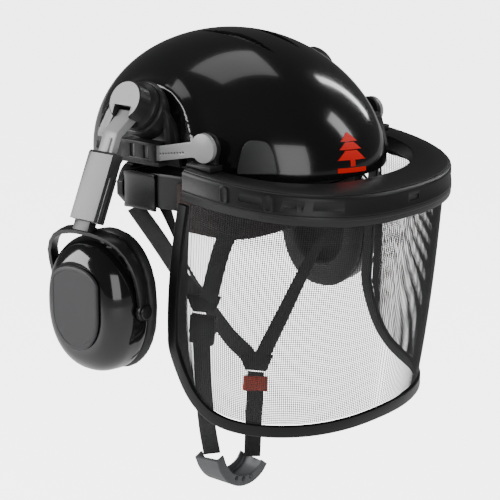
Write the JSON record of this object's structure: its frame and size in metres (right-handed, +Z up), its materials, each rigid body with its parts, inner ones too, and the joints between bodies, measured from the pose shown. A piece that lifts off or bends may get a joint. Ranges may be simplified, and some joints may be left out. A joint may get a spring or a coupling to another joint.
{
  "type": "forestry helmet",
  "caption": "Hard-shell forestry helmet with a lift-up mesh visor on a browguard, adjustable ear muffs and a chin harness.",
  "frame": {"origin": "on the middle plane, under the crown, at the height of the shell side rim, where the head stands in the cradle", "axes": "+Z up, -Y the way the wearer looks, +X the left side of the wearer"},
  "size_m": [0.3765, 0.3224, 0.4087],
  "materials": {
    "gloss_shell": "injection-moulded ABS with a high gloss",
    "gloss_cup": "gloss ABS ear cup",
    "gloss_band": "polished polyethylene nape band",
    "gloss_sleeve": "satin-gloss nylon sleeve",
    "matt_cup_trim": "fine textured nylon",
    "pale_arm": "smooth pale grey acetal",
    "matt_carrier": "glass-filled nylon",
    "brow_plastic": "fine grained polypropylene",
    "retainer_plastic": "satin polypropylene lip",
    "visor_mesh": "woven nylon mesh, black",
    "edge_trim": "soft PVC edge profile",
    "plug_plastic": "fine grained ABS",
    "cradle_plastic": "polyethylene",
    "webbing": "woven polyester webbing",
    "brow_textile": "perforated terry sweatband",
    "cushion_vinyl": "soft black vinyl over foam",
    "foam": "open-cell acoustic foam",
    "buckle_plastic": "acetal",
    "slider_plastic": "orange-red acetal",
    "chin_rubber": "moulded chin cup, dark grey"
  },
  "bodies": {
    "helmet": {"helmet_shell": "gloss_shell", "headband": "cradle_plastic", "brow_pad": "brow_textile", "nape_band": "gloss_band", "ratchet_housing": "cradle_plastic", "cradle_clip_front_right": "cradle_plastic", "cradle_clip_front_left": "cradle_plastic", "cradle_clip_rear_right": "cradle_plastic", "cradle_clip_rear_left": "cradle_plastic", "cradle_strap_lower": "webbing", "cradle_strap_upper": "webbing", "muff_carrier_right": "matt_carrier", "muff_carrier_left": "matt_carrier", "plug_cover_right": "plug_plastic", "plug_cover_left": "plug_plastic", "strap_front_right": "webbing", "strap_front_left": "webbing", "strap_rear_right": "webbing", "strap_rear_left": "webbing", "strap_divider_right": "buckle_plastic", "strap_divider_left": "buckle_plastic"},
    "ratchet_knob": {"ratchet_knob": "cradle_plastic"},
    "visor_arms": {"visor_arm_right": "pale_arm", "visor_arm_left": "pale_arm", "visor_pin_right": "matt_carrier", "visor_pin_left": "matt_carrier"},
    "visor": {"visor_bracket_right": "matt_carrier", "visor_bracket_left": "matt_carrier", "browguard": "brow_plastic", "mesh_retainer": "retainer_plastic", "visor_mesh": "visor_mesh", "mesh_edge_trim": "edge_trim"},
    "chin_loop": {"buckle_female": "buckle_plastic", "buckle_male": "buckle_plastic", "chin_strap_right": "webbing", "chin_strap_left": "webbing", "chin_cup": "chin_rubber"},
    "buckle_prong_front": {"buckle_prong_front": "buckle_plastic"},
    "buckle_prong_rear": {"buckle_prong_rear": "buckle_plastic"},
    "strap_slider": {"strap_slider": "slider_plastic"},
    "muff_turn_right": {"pivot_hub_right": "matt_carrier"},
    "muff_swing_right": {"muff_arm_right": "pale_arm"},
    "muff_height_right": {"arm_sleeve_right": "gloss_sleeve", "muff_yoke_right": "matt_cup_trim"},
    "muff_cup_right": {"ear_cup_right": "gloss_cup", "cup_plate_right": "matt_cup_trim", "ear_cushion_right": "cushion_vinyl", "cup_foam_right": "foam", "yoke_pin_front_right": "matt_cup_trim", "yoke_pin_rear_right": "matt_cup_trim"},
    "muff_turn_left": {"pivot_hub_left": "matt_carrier"},
    "muff_swing_left": {"muff_arm_left": "pale_arm"},
    "muff_height_left": {"arm_sleeve_left": "gloss_sleeve", "muff_yoke_left": "matt_cup_trim"},
    "muff_cup_left": {"ear_cup_left": "gloss_cup", "cup_plate_left": "matt_cup_trim", "ear_cushion_left": "cushion_vinyl", "cup_foam_left": "foam", "yoke_pin_front_left": "matt_cup_trim", "yoke_pin_rear_left": "matt_cup_trim"}
  },
  "joints": [
    {"name": "ratchet_knob_turn", "type": "hinge", "parent": "helmet", "child": "ratchet_knob", "pos_m": [0, 0.12, -0.044], "axis": [0, 1, 0], "continuous": true},
    {"name": "visor_arms_slide", "type": "slide", "parent": "helmet", "child": "visor_arms", "axis": [0, -1, 0], "range_m": [0, 0.012]},
    {"name": "visor_lift", "type": "hinge", "parent": "visor_arms", "child": "visor", "pos_m": [0, -0.0565, 0.027], "axis": [-1, 0, 0], "range_deg": [0, 110]},
    {"name": "muff_turn_right", "type": "hinge", "parent": "helmet", "child": "muff_turn_right", "pos_m": [-0.106, 0.015, 0.05], "axis": [0.9063, 0, -0.4226], "range_deg": [0, 70]},
    {"name": "muff_swing_right", "type": "hinge", "parent": "muff_turn_right", "child": "muff_swing_right", "pos_m": [-0.12473, 0.015, 0.0477], "axis": [0, 1, 0], "range_deg": [-4, 9]},
    {"name": "muff_height_right", "type": "slide", "parent": "muff_swing_right", "child": "muff_height_right", "axis": [-0.4226, 0, -0.9063], "range_m": [-0.012, 0.012]},
    {"name": "muff_tilt_right", "type": "hinge", "parent": "muff_height_right", "child": "muff_cup_right", "pos_m": [-0.1585, 0.017, -0.104], "axis": [0, 1, 0], "range_deg": [-8, 8]},
    {"name": "muff_turn_left", "type": "hinge", "parent": "helmet", "child": "muff_turn_left", "pos_m": [0.106, 0.015, 0.05], "axis": [0.9063, 0, 0.4226], "range_deg": [0, 70]},
    {"name": "muff_swing_left", "type": "hinge", "parent": "muff_turn_left", "child": "muff_swing_left", "pos_m": [0.12473, 0.015, 0.0477], "axis": [0, -1, 0], "range_deg": [-4, 9]},
    {"name": "muff_height_left", "type": "slide", "parent": "muff_swing_left", "child": "muff_height_left", "axis": [0.4226, 0, -0.9063], "range_m": [0, 0.024]},
    {"name": "muff_tilt_left", "type": "hinge", "parent": "muff_height_left", "child": "muff_cup_left", "pos_m": [0.15343, 0.017, -0.09312], "axis": [0, 1, 0], "range_deg": [-8, 8]},
    {"name": "chin_loop_swing", "type": "hinge", "parent": "helmet", "child": "chin_loop", "pos_m": [-0.07, -0.018, -0.1276], "axis": [0.7575, 0.1714, -0.6299], "range_deg": [-8, 8]},
    {"name": "buckle_release", "type": "slide", "parent": "chin_loop", "child": "buckle_prong_front", "axis": [-0.4684, 0.877, 0.1075], "range_m": [0, 0.0015], "stiffness_N_per_m": 600},
    {"name": "buckle_release_rear", "type": "slide", "parent": "chin_loop", "child": "buckle_prong_rear", "axis": [0.4684, -0.877, -0.1075], "range_m": [0, 0.0015], "stiffness_N_per_m": 600},
    {"name": "strap_slider_move", "type": "slide", "parent": "chin_loop", "child": "strap_slider", "axis": [-0.1505, -0.0848, -0.985], "range_m": [0, 0.005]}
  ],
  "couplings": [
    {"joint": "buckle_release_rear", "follows": "buckle_release", "ratio": 1}
  ]
}
